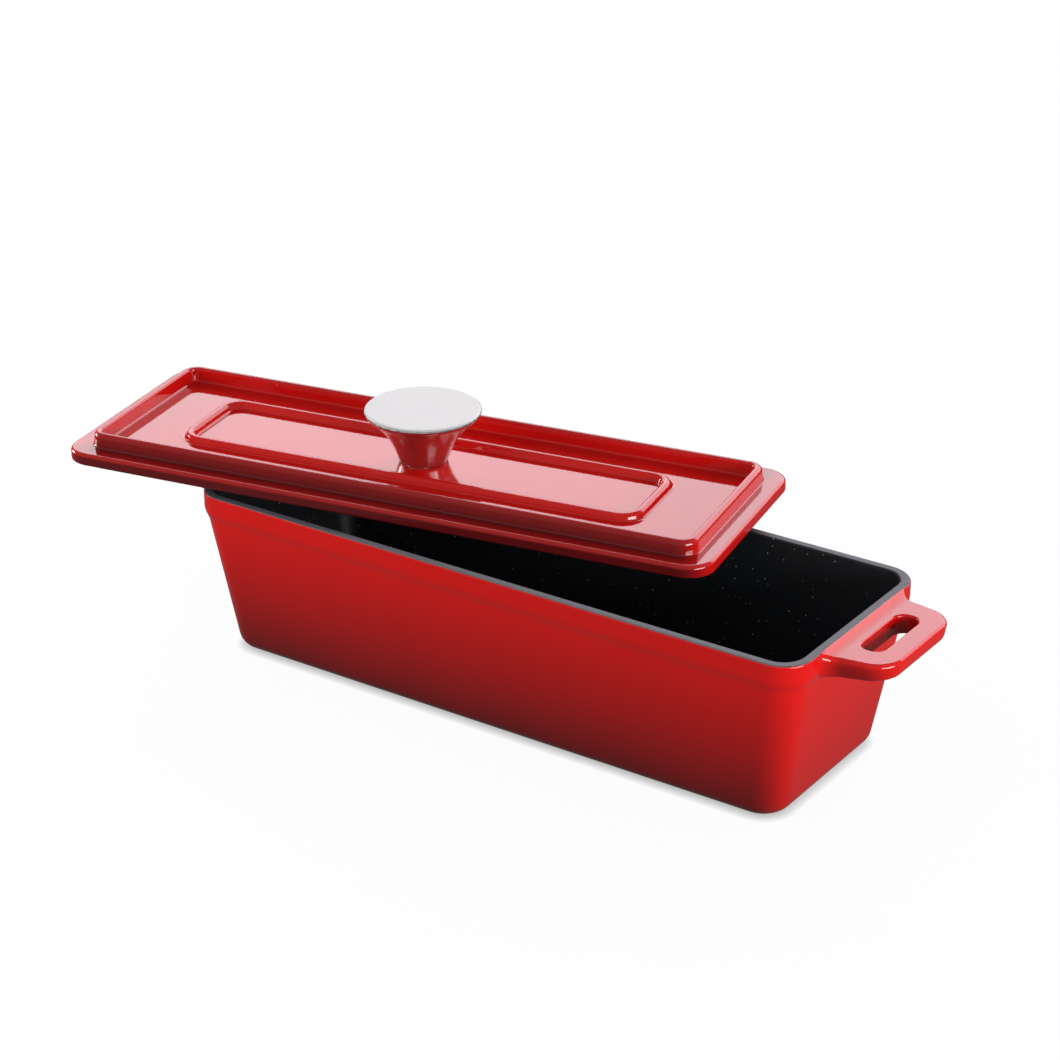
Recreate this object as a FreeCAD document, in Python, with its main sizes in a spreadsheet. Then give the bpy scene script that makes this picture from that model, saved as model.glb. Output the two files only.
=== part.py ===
import FreeCAD, Part
import math
import os

import Sketcher
from FreeCAD import Placement, Rotation, Vector

# A terrine dish of enamelled cast iron with a lid that lies askew on its rim.
# The origin is the centre of the dish's underside. X runs along the dish, Y across it
# and Z up. Lengths are millimetres.
# The dish is one casting: drafted walls, a thicker band round the rim, and a slotted grip
# at each end. The lid is a second casting: a flat flange, a raised rim round a shallow
# tray, a rounded bead in the tray, and below it a ridge that finds its place inside the
# dish. A steel knob stands in the tray, held by a screw and a washer from below.

os.makedirs("parts", exist_ok=True)
doc = FreeCAD.newDocument("terrine_dish")

# Driving dimensions: name, value, what it is
SIZES = [
    ("rim_length", 280.0, "length over the rim, grips not counted"),
    ("rim_width", 98.0, "width over the rim"),
    ("rim_corner", 13.0, "corner radius of the rim, outside"),
    ("rim_wall", 4.0, "wall at the rim"),
    ("rim_bevel", 0.6, "bevel of the rim's two edges"),
    ("dish_height", 70.0, "underside to rim"),
    ("band_height", 8.0, "upright face of the band below the rim"),
    ("shoulder_height", 5.0, "slope from the band to the wall"),
    ("shoulder_step", 1.6, "how far the band stands out from the wall"),
    ("shoulder_tuck", 2.0, "how far down the slope runs on inside the wall"),
    ("shoulder_round", 5.0, "rounding where the band turns into its slope"),
    ("end_lean", 9.4, "how far an end wall leans in from shoulder to foot"),
    ("side_lean", 6.4, "how far a side wall leans in from shoulder to foot"),
    ("wall_corner", 11.5, "corner radius of the drafted walls"),
    ("foot_round", 6.0, "rounding from the underside to the walls"),
    ("wall", 4.2, "wall at the floor, measured level"),
    ("floor_thickness", 5.0, "thickness of the floor"),
    ("cavity_round", 8.0, "rounding from the floor to the walls, inside"),
    ("grip_reach", 25.0, "how far a grip stands out from the rim"),
    ("grip_width", 55.0, "width of a grip"),
    ("grip_corner", 9.5, "outer corner radius of a grip"),
    ("grip_flare", 8.0, "hollow radius where a grip widens into the rim"),
    ("grip_root", 1.5, "how deep the flare's end lies in the rim's wall"),
    ("grip_drop", 2.0, "top of a grip below the rim"),
    ("grip_thickness", 8.2, "thickness of a grip"),
    ("grip_round", 1.8, "rounding of a grip's edges"),
    ("cove_gap", 0.9, "upright strip left between the cove and the rim"),
    ("cove_radius", 5.0, "hollow radius between a grip's top and the rim"),
    ("slot_inset", 6.0, "from the rim's end face to the finger slot"),
    ("slot_breadth", 9.8, "finger slot, along the dish"),
    ("slot_length", 33.0, "finger slot, across the dish"),
    ("slot_corner", 4.2, "corner radius of the finger slot"),
    ("slot_bevel", 0.8, "bevel of the finger slot's edges"),
    ("lid_overhang", 1.3, "lid beyond the rim on each side when it is on"),
    ("lid_corner", 11.0, "corner radius of the lid"),
    ("lid_thickness", 5.1, "thickness of the lid's plate"),
    ("lid_round", 1.6, "rounding of the flange's upper edge"),
    ("lid_lower_bevel", 0.6, "bevel of the flange's lower edge"),
    ("flange_width", 7.8, "flange outside the raised rim"),
    ("tray_height", 5.9, "raised rim above the plate"),
    ("tray_wall", 3.1, "raised rim's width at its top"),
    ("tray_slope", 0.7, "how far each side of the raised rim leans in"),
    ("tray_corner", 7.5, "corner radius of the raised rim at its base"),
    ("tray_round", 1.2, "rounding of the raised rim's upper edges"),
    ("tray_hollow", 0.8, "hollow bevel at the raised rim's base"),
    ("bead_length", 206.0, "length over the bead in the tray"),
    ("bead_width", 46.4, "width over the bead in the tray"),
    ("bead_corner", 10.4, "outer corner radius of the bead"),
    ("bead_breadth", 5.0, "the bead's own width"),
    ("bead_height", 2.8, "the bead's height above the tray"),
    ("bead_round", 2.3, "rounding of the bead's crown"),
    ("ridge_play", 1.5, "room between the ridge and the dish's wall"),
    ("ridge_breadth", 3.5, "width of the ridge below the lid"),
    ("ridge_height", 3.5, "height of the ridge below the lid"),
    ("ridge_bevel", 0.6, "bevel of the ridge's lower edges"),
    ("lid_shift_x", -68.9, "lid's centre along the dish as it lies"),
    ("lid_shift_y", 13.2, "lid's centre across the dish as it lies"),
    ("lid_turn", 10.4, "degrees that the lid lies turned"),
    ("knob_height", 22.7, "knob's height above the tray"),
    ("knob_diameter", 47.6, "across the knob's flat top"),
    ("knob_foot", 18.6, "across the knob's foot"),
    ("knob_bevel", 0.6, "bevel round the knob's foot"),
    ("knob_neck_height", 5.8, "end of the knob's straight neck"),
    ("knob_neck", 23.8, "across the knob at the end of its neck"),
    ("knob_trumpet", 33.0, "hollow radius of the knob's flare"),
    ("knob_disc", 2.7, "thickness of the knob's disc at its edge"),
    ("knob_undercut", 1.0, "how far the flare ends inside the disc's edge"),
    ("knob_lower_bevel", 1.2, "height of the bevel below the disc's edge"),
    ("knob_upper_bevel", 0.6, "bevel of the disc's upper edge"),
    ("thread_diameter", 5.0, "screw's shank"),
    ("thread_play", 0.05, "room round the shank in the knob"),
    ("thread_reach", 10.0, "how far the screw enters the knob"),
    ("bore_spare", 2.0, "bore in the knob beyond the screw's tip"),
    ("hole_play", 0.25, "room round the shank in lid and washer"),
    ("washer_diameter", 12.0, "across the washer"),
    ("washer_thickness", 1.0, "thickness of the washer"),
    ("head_diameter", 9.6, "across the screw's head"),
    ("head_height", 3.0, "height of the screw's head"),
    ("head_bevel", 1.2, "bevel of the screw's head"),
    ("drive_length", 5.6, "length of each arm of the screw's cross recess"),
    ("drive_breadth", 1.2, "width of each arm of the screw's cross recess"),
    ("drive_depth", 1.6, "depth of the screw's cross recess"),
]

sizes = doc.addObject("Spreadsheet::Sheet", "Sizes")
for row, (alias, number, meaning) in enumerate(SIZES, start=1):
    sizes.set(f"A{row}", meaning)
    sizes.set(f"B{row}", str(number))
    sizes.setAlias(f"B{row}", alias)
doc.recompute()

# Sizes that follow from the driving ones, as formulas of the sheet
RIM_END = "Sizes.rim_length / 2"
BAND_Z = "(Sizes.dish_height - Sizes.band_height)"
SHOULDER_Z = "(Sizes.dish_height - Sizes.band_height - Sizes.shoulder_height)"
WALL_LENGTH = "(Sizes.rim_length - 2 * Sizes.shoulder_step)"
WALL_WIDTH = "(Sizes.rim_width - 2 * Sizes.shoulder_step)"
FOOT_LENGTH = f"({WALL_LENGTH} - 2 * Sizes.end_lean)"
FOOT_WIDTH = f"({WALL_WIDTH} - 2 * Sizes.side_lean)"
LENGTH_DRAFT = f"(2 * Sizes.end_lean / {SHOULDER_Z})"
WIDTH_DRAFT = f"(2 * Sizes.side_lean / {SHOULDER_Z})"
FLOOR_LENGTH = f"({FOOT_LENGTH} + {LENGTH_DRAFT} * Sizes.floor_thickness - 2 * Sizes.wall)"
FLOOR_WIDTH = f"({FOOT_WIDTH} + {WIDTH_DRAFT} * Sizes.floor_thickness - 2 * Sizes.wall)"
GRIP_TOP = "Sizes.dish_height - Sizes.grip_drop"
GRIP_BOTTOM = f"{GRIP_TOP} - Sizes.grip_thickness"
GRIP_END = f"{RIM_END} + Sizes.grip_reach"
LID_LENGTH = "(Sizes.rim_length + 2 * Sizes.lid_overhang)"
LID_WIDTH = "(Sizes.rim_width + 2 * Sizes.lid_overhang)"
TRAY_LENGTH = f"({LID_LENGTH} - 2 * Sizes.flange_width)"
TRAY_WIDTH = f"({LID_WIDTH} - 2 * Sizes.flange_width)"
TRAY_TOP = "Sizes.lid_thickness + Sizes.tray_height"
RIDGE_INSET = "(Sizes.rim_wall + Sizes.ridge_play)"
LID_Z = "Sizes.dish_height + Sizes.ridge_height"

# How near, in millimetres, an edge has to lie to count as being in a place
NEAR = 1e-3


def value(formula):
    """Number that a formula of the sheet gives now."""
    return float(sizes.evalExpression(formula))


def plane(body, role):
    """Origin plane of a body by its role, such as XY_Plane."""
    for feature in body.Origin.OriginFeatures:
        if feature.Role == role:
            return feature
    raise RuntimeError(f"{body.Name} has no {role}")


def new_body(label):
    body = doc.addObject("PartDesign::Body", label)
    body.Label = label
    return body


def new_sketch(body, name, role="XY_Plane", height=None):
    """Sketch on an origin plane of its body, raised by a formula where one is given."""
    sketch = body.newObject("Sketcher::SketchObject", name)
    sketch.AttachmentSupport = [(plane(body, role), "")]
    sketch.MapMode = "FlatFace"
    if height is not None:
        sketch.setExpression("AttachmentOffset.Base.z", height)
    return sketch


def dimension(sketch, name, kind, where, formula):
    """Adds a named dimension and ties it to the sheet."""
    index = sketch.addConstraint(Sketcher.Constraint(kind, *where, value(formula)))
    sketch.renameConstraint(index, name)
    sketch.setExpression(f"Constraints.{name}", formula)


def rounded_rectangle(sketch, name, length, width, corner):
    """Rounded rectangle round the sketch's origin. The three sizes are formulas."""
    radius = value(corner)
    end = value(length) / 2
    side = value(width) / 2
    x = end - radius
    y = side - radius
    runs = [
        (Vector(-x, -side, 0), Vector(x, -side, 0)),
        (Vector(end, -y, 0), Vector(end, y, 0)),
        (Vector(x, side, 0), Vector(-x, side, 0)),
        (Vector(-end, y, 0), Vector(-end, -y, 0)),
    ]
    centres = [Vector(x, -y, 0), Vector(x, y, 0), Vector(-x, y, 0), Vector(-x, -y, 0)]
    lines = []
    arcs = []
    for turn, ((start, stop), centre) in enumerate(zip(runs, centres)):
        lines.append(sketch.addGeometry(Part.LineSegment(start, stop)))
        first = math.radians(90 * turn - 90)
        circle = Part.Circle(centre, Vector(0, 0, 1), radius)
        arcs.append(sketch.addGeometry(Part.ArcOfCircle(circle, first, first + math.pi / 2)))
    for i in range(4):
        sketch.addConstraint(Sketcher.Constraint("Tangent", lines[i], 2, arcs[i], 1))
        sketch.addConstraint(Sketcher.Constraint("Tangent", arcs[i], 2, lines[(i + 1) % 4], 1))
    for i in (0, 2):
        sketch.addConstraint(Sketcher.Constraint("Horizontal", lines[i]))
        sketch.addConstraint(Sketcher.Constraint("Vertical", lines[i + 1]))
    for i in (1, 2, 3):
        sketch.addConstraint(Sketcher.Constraint("Equal", arcs[0], arcs[i]))
    sketch.addConstraint(Sketcher.Constraint("Symmetric", lines[0], 1, lines[2], 1, -1, 1))
    dimension(sketch, name + "_corner", "Radius", (arcs[0],), corner)
    dimension(sketch, name + "_length", "DistanceX", (lines[3], 1, lines[1], 1), length)
    dimension(sketch, name + "_width", "DistanceY", (lines[0], 1, lines[2], 1), width)


def circle(sketch, name, diameter):
    """Circle round the sketch's origin."""
    ring = Part.Circle(Vector(0, 0, 0), Vector(0, 0, 1), value(diameter) / 2)
    index = sketch.addGeometry(ring)
    sketch.addConstraint(Sketcher.Constraint("Coincident", index, 3, -1, 1))
    dimension(sketch, name, "Diameter", (index,), diameter)


def outline(sketch, name, corners, arcs=None):
    """Closed outline through corners given as pairs of formulas.

    arcs gives, for the run that leaves a corner, its radius as a formula and the side of
    its centre: "left" or "right" of the way to the next corner.
    """
    arcs = arcs or {}
    points = [Vector(value(x), value(y), 0) for x, y in corners]
    count = len(points)
    ends = []
    for i, start in enumerate(points):
        stop = points[(i + 1) % count]
        if i not in arcs:
            ends.append((sketch.addGeometry(Part.LineSegment(start, stop)), 1, 2))
            continue
        formula, side = arcs[i]
        radius = value(formula)
        chord = stop - start
        across = Vector(-chord.y, chord.x, 0).normalize()
        rise = math.sqrt(max(radius ** 2 - (chord.Length / 2) ** 2, 0.0))
        sign = 1 if side == "left" else -1
        centre = start + chord * 0.5 + across * (sign * rise)
        first, last = (start, stop) if side == "left" else (stop, start)
        first_angle = math.atan2(first.y - centre.y, first.x - centre.x)
        last_angle = math.atan2(last.y - centre.y, last.x - centre.x)
        if last_angle < first_angle:
            last_angle += 2 * math.pi
        ring = Part.Circle(centre, Vector(0, 0, 1), radius)
        index = sketch.addGeometry(Part.ArcOfCircle(ring, first_angle, last_angle))
        ends.append((index, 1, 2) if side == "left" else (index, 2, 1))
        dimension(sketch, f"{name}_radius_{i}", "Radius", (index,), formula)
    for i in range(count):
        here, _, stop = ends[i]
        after, start, _ = ends[(i + 1) % count]
        sketch.addConstraint(Sketcher.Constraint("Coincident", here, stop, after, start))
    for i, (x, y) in enumerate(corners):
        geometry, start, _ = ends[i]
        for axis, kind, letter, formula in ((-2, "DistanceX", "x", x), (-1, "DistanceY", "y", y)):
            if formula == "0":
                on_axis = Sketcher.Constraint("PointOnObject", geometry, start, axis)
                sketch.addConstraint(on_axis)
            else:
                dimension(sketch, f"{name}_{letter}_{i}", kind, (geometry, start), formula)


def wedge(body, kind, name, bottom, top):
    """Block with four drafted sides. bottom and top each give height, length and width."""
    feature = body.newObject(f"PartDesign::{kind}Wedge", name)
    feature.Placement = Placement(Vector(0, 0, 0), Rotation(Vector(1, 0, 0), 90))
    feature.setExpression("Ymin", bottom[0])
    feature.setExpression("Ymax", top[0])
    for mark, (_, length, width) in (("", bottom), ("2", top)):
        feature.setExpression(f"X{mark}min", f"-{length} / 2")
        feature.setExpression(f"X{mark}max", f"{length} / 2")
        feature.setExpression(f"Z{mark}min", f"-{width} / 2")
        feature.setExpression(f"Z{mark}max", f"{width} / 2")
    doc.recompute()
    return feature


def pad(body, name, sketch, length, reverse=False, both=False):
    feature = body.newObject("PartDesign::Pad", name)
    feature.Profile = sketch
    feature.setExpression("Length", length)
    feature.Reversed = reverse
    feature.SideType = "Symmetric" if both else "One side"
    doc.recompute()
    return feature


def pocket(body, name, sketch, depth=None, reverse=False):
    """Pocket below a sketch, or above it when reversed; through all without a depth."""
    before = body.Shape.Volume
    feature = body.newObject("PartDesign::Pocket", name)
    feature.Profile = sketch
    feature.Reversed = reverse
    if depth is None:
        feature.Type = "ThroughAll"
    else:
        feature.setExpression("Length", depth)
    doc.recompute()
    if body.Shape.Volume > before - NEAR:
        raise RuntimeError(f"{name} cuts nothing")
    return feature


def revolve(body, name, sketch):
    feature = body.newObject("PartDesign::Revolution", name)
    feature.Profile = sketch
    feature.ReferenceAxis = (sketch, ["V_Axis"])
    feature.Angle = 360
    doc.recompute()
    return feature


def edges_of(body, name, wanted):
    """The body's tip, and the names of its edges for which wanted(edge) is true."""
    base = body.Tip
    names = [f"Edge{i}" for i, edge in enumerate(base.Shape.Edges, start=1) if wanted(edge)]
    if not names:
        raise RuntimeError(f"{name} finds no edge")
    return base, names


def fillet(body, name, formula, wanted):
    """Rounds the wanted edges of the body's tip."""
    base, names = edges_of(body, name, wanted)
    feature = body.newObject("PartDesign::Fillet", name)
    feature.Base = (base, names)
    feature.setExpression("Radius", formula)
    doc.recompute()
    return feature


def bevel(body, name, formula, wanted, across=None):
    """Bevels the wanted edges of the body's tip, as wide across as up unless across is given."""
    base, names = edges_of(body, name, wanted)
    feature = body.newObject("PartDesign::Chamfer", name)
    feature.Base = (base, names)
    feature.setExpression("Size", formula)
    if across is not None:
        feature.ChamferType = "Two distances"
        feature.setExpression("Size2", across)
    doc.recompute()
    return feature


def reach(edge):
    """Points along an edge: its two ends and its middle."""
    first, last = edge.ParameterRange
    return [edge.valueAt(first), edge.valueAt((first + last) / 2), edge.valueAt(last)]


def level(edge, height):
    """True if the whole edge lies at a height."""
    return all(abs(point.z - height) < NEAR for point in reach(edge))


def climbs(edge, low, high):
    """True if the edge runs from one height to another."""
    heights = sorted(point.z for point in reach(edge))
    return abs(heights[0] - low) < NEAR and abs(heights[-1] - high) < NEAR


def within(edge, length, width):
    """True if the whole edge lies inside a rectangle round the origin."""
    return all(abs(p.x) < length / 2 and abs(p.y) < width / 2 for p in reach(edge))


def place_on_lid(body, height):
    """Puts a body of the lid's frame where the lid lies, at a height above the table."""
    body.Placement = Placement(Vector(0, 0, 0), Rotation(Vector(0, 0, 1), value("Sizes.lid_turn")))
    body.setExpression("Placement.Base.x", "Sizes.lid_shift_x")
    body.setExpression("Placement.Base.y", "Sizes.lid_shift_y")
    body.setExpression("Placement.Base.z", height)
    body.setExpression("Placement.Rotation.Angle", "Sizes.lid_turn * 1 deg")


def dish_walls(body):
    """Outside of the dish: upright band, sloping shoulder, drafted walls and rounded foot.

    The drafted walls are shaped by themselves and then joined to the band.
    """
    height = "(Sizes.band_height + Sizes.shoulder_height + Sizes.shoulder_tuck)"
    slope_height = "(Sizes.shoulder_height + Sizes.shoulder_tuck)"
    rim = new_sketch(body, "rim_outline", height="Sizes.dish_height")
    rounded_rectangle(rim, "rim", "Sizes.rim_length", "Sizes.rim_width", "Sizes.rim_corner")
    pad(body, "band", rim, height, reverse=True)
    slope_z = value(f"Sizes.dish_height - {height}")
    bevel(
        body,
        "shoulder",
        slope_height,
        lambda edge: level(edge, slope_z),
        across=f"Sizes.shoulder_step * {slope_height} / Sizes.shoulder_height",
    )
    band_z = value(BAND_Z)
    fillet(body, "shoulder_rounding", "Sizes.shoulder_round", lambda edge: level(edge, band_z))

    foot = ("0", FOOT_LENGTH, FOOT_WIDTH)
    top = (
        BAND_Z,
        f"({FOOT_LENGTH} + {LENGTH_DRAFT} * {BAND_Z})",
        f"({FOOT_WIDTH} + {WIDTH_DRAFT} * {BAND_Z})",
    )
    walls = new_body("dish_walls")
    wedge(walls, "Additive", "walls", foot, top)
    fillet(walls, "wall_corners", "Sizes.wall_corner", lambda edge: climbs(edge, 0.0, band_z))
    fillet(walls, "foot_rounding", "Sizes.foot_round", lambda edge: level(edge, 0.0))
    joined = body.newObject("PartDesign::Boolean", "walls_and_band")
    joined.setObjects([walls])
    joined.Type = "Fuse"
    doc.recompute()


def dish_cavity(body):
    """Inside of the dish, with a round turn from floor to walls."""
    floor = ("Sizes.floor_thickness", FLOOR_LENGTH, FLOOR_WIDTH)
    mouth_length = "(Sizes.rim_length - 2 * Sizes.rim_wall)"
    mouth_width = "(Sizes.rim_width - 2 * Sizes.rim_wall)"
    wedge(body, "Subtractive", "cavity", floor, ("Sizes.dish_height", mouth_length, mouth_width))
    floor_z = value("Sizes.floor_thickness")
    rim_z = value("Sizes.dish_height")
    length = value(mouth_length) + NEAR
    width = value(mouth_width) + NEAR

    fillet(
        body,
        "cavity_corners",
        "Sizes.rim_corner - Sizes.rim_wall",
        lambda edge: climbs(edge, floor_z, rim_z) and within(edge, length, width),
    )
    fillet(body, "cavity_rounding", "Sizes.cavity_round", lambda edge: level(edge, floor_z))
    bevel(body, "rim_bevels", "Sizes.rim_bevel", lambda edge: level(edge, rim_z))


def dish_grips(body):
    """Slotted grip at each end, flared into the rim, with a cove up to the rim's edge."""
    side = new_sketch(body, "grip_side", "XZ_Plane")
    root = f"{RIM_END} - Sizes.grip_root"
    cove_top = "Sizes.dish_height - Sizes.cove_gap"
    rise = "(Sizes.grip_drop - Sizes.cove_gap)"
    cove_end = f"{RIM_END} + sqrt(2 * Sizes.cove_radius * {rise} - {rise} ^ 2)"
    corners = [
        (root, GRIP_BOTTOM),
        (GRIP_END, GRIP_BOTTOM),
        (GRIP_END, GRIP_TOP),
        (cove_end, GRIP_TOP),
        (RIM_END, cove_top),
        (root, cove_top),
    ]
    outline(side, "side", corners, {3: ("Sizes.cove_radius", "right")})
    flare_dip = "sqrt(Sizes.grip_flare ^ 2 - (Sizes.grip_flare - Sizes.grip_root) ^ 2)"
    root_half = f"(Sizes.grip_width / 2 + Sizes.grip_flare - {flare_dip})"
    block = pad(body, "grip_block", side, f"2 * {root_half}", both=True)

    # What is cut away in front of and behind a grip: the flare, the side and the corner
    beyond = f"{GRIP_END} + Sizes.grip_corner"
    far = f"({root_half} + Sizes.grip_corner)"
    trim = new_sketch(body, "grip_plan", height="Sizes.dish_height")
    for name, sign, hollow, outer in (("front", "-", "right", "left"), ("back", "", "left", "right")):
        corners = [
            (RIM_END, f"{sign}{root_half}"),
            (f"{RIM_END} - Sizes.grip_root + Sizes.grip_flare", f"{sign}(Sizes.grip_width / 2)"),
            (f"{GRIP_END} - Sizes.grip_corner", f"{sign}(Sizes.grip_width / 2)"),
            (GRIP_END, f"{sign}(Sizes.grip_width / 2 - Sizes.grip_corner)"),
            (beyond, f"{sign}(Sizes.grip_width / 2 - Sizes.grip_corner)"),
            (beyond, f"{sign}{far}"),
            (RIM_END, f"{sign}{far}"),
        ]
        rounds = {0: ("Sizes.grip_flare", hollow), 2: ("Sizes.grip_corner", outer)}
        outline(trim, name, corners, rounds)
    plan = pocket(body, "grip_trim", trim)

    slot_start = f"({RIM_END} + Sizes.slot_inset)"
    slot_stop = f"({slot_start} + Sizes.slot_breadth)"
    half = "Sizes.slot_length / 2"
    radius = "Sizes.slot_corner"
    hole = new_sketch(body, "finger_slot", height="Sizes.dish_height")
    corners = [
        (f"{slot_start} + {radius}", f"-{half}"),
        (f"{slot_stop} - {radius}", f"-{half}"),
        (slot_stop, f"-{half} + {radius}"),
        (slot_stop, f"{half} - {radius}"),
        (f"{slot_stop} - {radius}", half),
        (f"{slot_start} + {radius}", half),
        (slot_start, f"{half} - {radius}"),
        (slot_start, f"-{half} + {radius}"),
    ]
    outline(hole, "slot", corners, {i: (radius, "left") for i in (1, 3, 5, 7)})
    slot = pocket(body, "grip_slot", hole)

    twin = body.newObject("PartDesign::Mirrored", "grip_twin")
    twin.Originals = [block, plan, slot]
    twin.MirrorPlane = (plane(body, "YZ_Plane"), [""])
    body.Tip = twin
    doc.recompute()

    top = value(GRIP_TOP)
    bottom = value(GRIP_BOTTOM)
    slot_from = value(slot_start) - NEAR
    slot_to = value(slot_stop) + NEAR
    slot_half = value(half) + NEAR
    flare_end = value(f"{RIM_END} - Sizes.grip_root + Sizes.grip_flare") - NEAR

    def on_slot(edge):
        points = reach(edge)
        return all(slot_from < abs(p.x) < slot_to and abs(p.y) < slot_half for p in points)

    def on_face(edge):
        return level(edge, top) or level(edge, bottom)

    def on_outside(edge):
        return all(abs(p.x) > flare_end for p in reach(edge)) and not on_slot(edge)

    bevel(body, "slot_bevels", "Sizes.slot_bevel", lambda e: on_face(e) and on_slot(e))
    fillet(body, "grip_rounding", "Sizes.grip_round", lambda e: on_face(e) and on_outside(e))


def make_dish():
    body = new_body("dish")
    dish_walls(body)
    dish_cavity(body)
    dish_grips(body)
    return body


def make_lid():
    """Plate, raised rim, tray, bead and locating ridge, in the lid's own frame."""
    body = new_body("lid")
    plate = new_sketch(body, "plate_outline")
    rounded_rectangle(plate, "plate", LID_LENGTH, LID_WIDTH, "Sizes.lid_corner")
    pad(body, "plate", plate, "Sizes.lid_thickness")
    plate_top = value("Sizes.lid_thickness")
    fillet(body, "flange_rounding", "Sizes.lid_round", lambda edge: level(edge, plate_top))
    bevel(body, "flange_lower_bevel", "Sizes.lid_lower_bevel", lambda edge: level(edge, 0.0))

    # Raised rim: both its sides lean in towards its top
    lean = "2 * Sizes.tray_slope"
    inner = "2 * (Sizes.tray_slope + Sizes.tray_wall)"
    inner_corner = "Sizes.tray_corner - Sizes.tray_slope - Sizes.tray_wall"
    base = ("Sizes.lid_thickness", TRAY_LENGTH, TRAY_WIDTH)
    crest = (TRAY_TOP, f"({TRAY_LENGTH} - {lean})", f"({TRAY_WIDTH} - {lean})")
    floor = (
        "Sizes.lid_thickness",
        f"({TRAY_LENGTH} - {inner} - {lean})",
        f"({TRAY_WIDTH} - {inner} - {lean})",
    )
    mouth = (TRAY_TOP, f"({TRAY_LENGTH} - {inner})", f"({TRAY_WIDTH} - {inner})")
    wedge(body, "Additive", "raised_rim", base, crest)
    top = value(TRAY_TOP)
    fillet(
        body,
        "raised_rim_corners",
        "Sizes.tray_corner",
        lambda edge: climbs(edge, plate_top, top),
    )
    wedge(body, "Subtractive", "tray", floor, mouth)
    mouth_length = value(mouth[1]) + NEAR
    mouth_width = value(mouth[2]) + NEAR
    fillet(
        body,
        "tray_corners",
        inner_corner,
        lambda edge: climbs(edge, plate_top, top) and within(edge, mouth_length, mouth_width),
    )
    fillet(body, "raised_rim_rounding", "Sizes.tray_round", lambda edge: level(edge, top))
    tray_length = value(TRAY_LENGTH) + NEAR
    tray_width = value(TRAY_WIDTH) + NEAR
    bevel(
        body,
        "raised_rim_hollow",
        "Sizes.tray_hollow",
        lambda edge: level(edge, plate_top) and within(edge, tray_length, tray_width),
    )

    # Rounded bead that runs round the tray
    ring = new_sketch(body, "bead_outline", height="Sizes.lid_thickness")
    rounded_rectangle(ring, "outer", "Sizes.bead_length", "Sizes.bead_width", "Sizes.bead_corner")
    rounded_rectangle(
        ring,
        "inner",
        "Sizes.bead_length - 2 * Sizes.bead_breadth",
        "Sizes.bead_width - 2 * Sizes.bead_breadth",
        "Sizes.bead_corner - Sizes.bead_breadth",
    )
    pad(body, "bead", ring, "Sizes.bead_height")
    crown = value("Sizes.lid_thickness + Sizes.bead_height")
    fillet(body, "bead_rounding", "Sizes.bead_round", lambda edge: level(edge, crown))

    # Ridge below the plate that fits inside the dish's rim with some play
    ridge = new_sketch(body, "ridge_outline")
    ridge_length = f"Sizes.rim_length - 2 * {RIDGE_INSET}"
    ridge_width = f"Sizes.rim_width - 2 * {RIDGE_INSET}"
    ridge_corner = f"Sizes.rim_corner - {RIDGE_INSET}"
    less = "2 * Sizes.ridge_breadth"
    rounded_rectangle(ridge, "outer", ridge_length, ridge_width, ridge_corner)
    rounded_rectangle(
        ridge,
        "inner",
        f"{ridge_length} - {less}",
        f"{ridge_width} - {less}",
        f"{ridge_corner} - Sizes.ridge_breadth",
    )
    pad(body, "ridge", ridge, "Sizes.ridge_height", reverse=True)
    ridge_z = -value("Sizes.ridge_height")
    bevel(body, "ridge_bevels", "Sizes.ridge_bevel", lambda edge: level(edge, ridge_z))

    hole = new_sketch(body, "knob_hole_outline", height="Sizes.lid_thickness")
    circle(hole, "hole", "Sizes.thread_diameter + 2 * Sizes.hole_play")
    pocket(body, "knob_hole", hole)
    place_on_lid(body, LID_Z)
    return body


def make_knob():
    """Turned knob: straight neck, trumpet flare, rounded disc, and a bore from below."""
    body = new_body("knob")
    edge = "Sizes.knob_diameter / 2"
    disc_z = "(Sizes.knob_height - Sizes.knob_disc)"
    bore = "(Sizes.thread_diameter / 2 + Sizes.thread_play)"
    depth = "(Sizes.thread_reach + Sizes.bore_spare)"
    corners = [
        (bore, "0"),
        ("Sizes.knob_foot / 2", "0"),
        ("Sizes.knob_foot / 2 + Sizes.knob_bevel", "Sizes.knob_bevel"),
        ("Sizes.knob_neck / 2", "Sizes.knob_neck_height"),
        (f"{edge} - Sizes.knob_undercut", disc_z),
        (edge, f"{disc_z} + Sizes.knob_lower_bevel"),
        (edge, "Sizes.knob_height - Sizes.knob_upper_bevel"),
        (f"{edge} - Sizes.knob_upper_bevel", "Sizes.knob_height"),
        ("0", "Sizes.knob_height"),
        ("0", f"{depth} + {bore}"),
        (bore, depth),
    ]
    section = new_sketch(body, "knob_section", "XZ_Plane")
    outline(section, "knob", corners, {3: ("Sizes.knob_trumpet", "right")})
    revolve(body, "knob_turning", section)
    place_on_lid(body, f"{LID_Z} + Sizes.lid_thickness")
    return body


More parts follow.
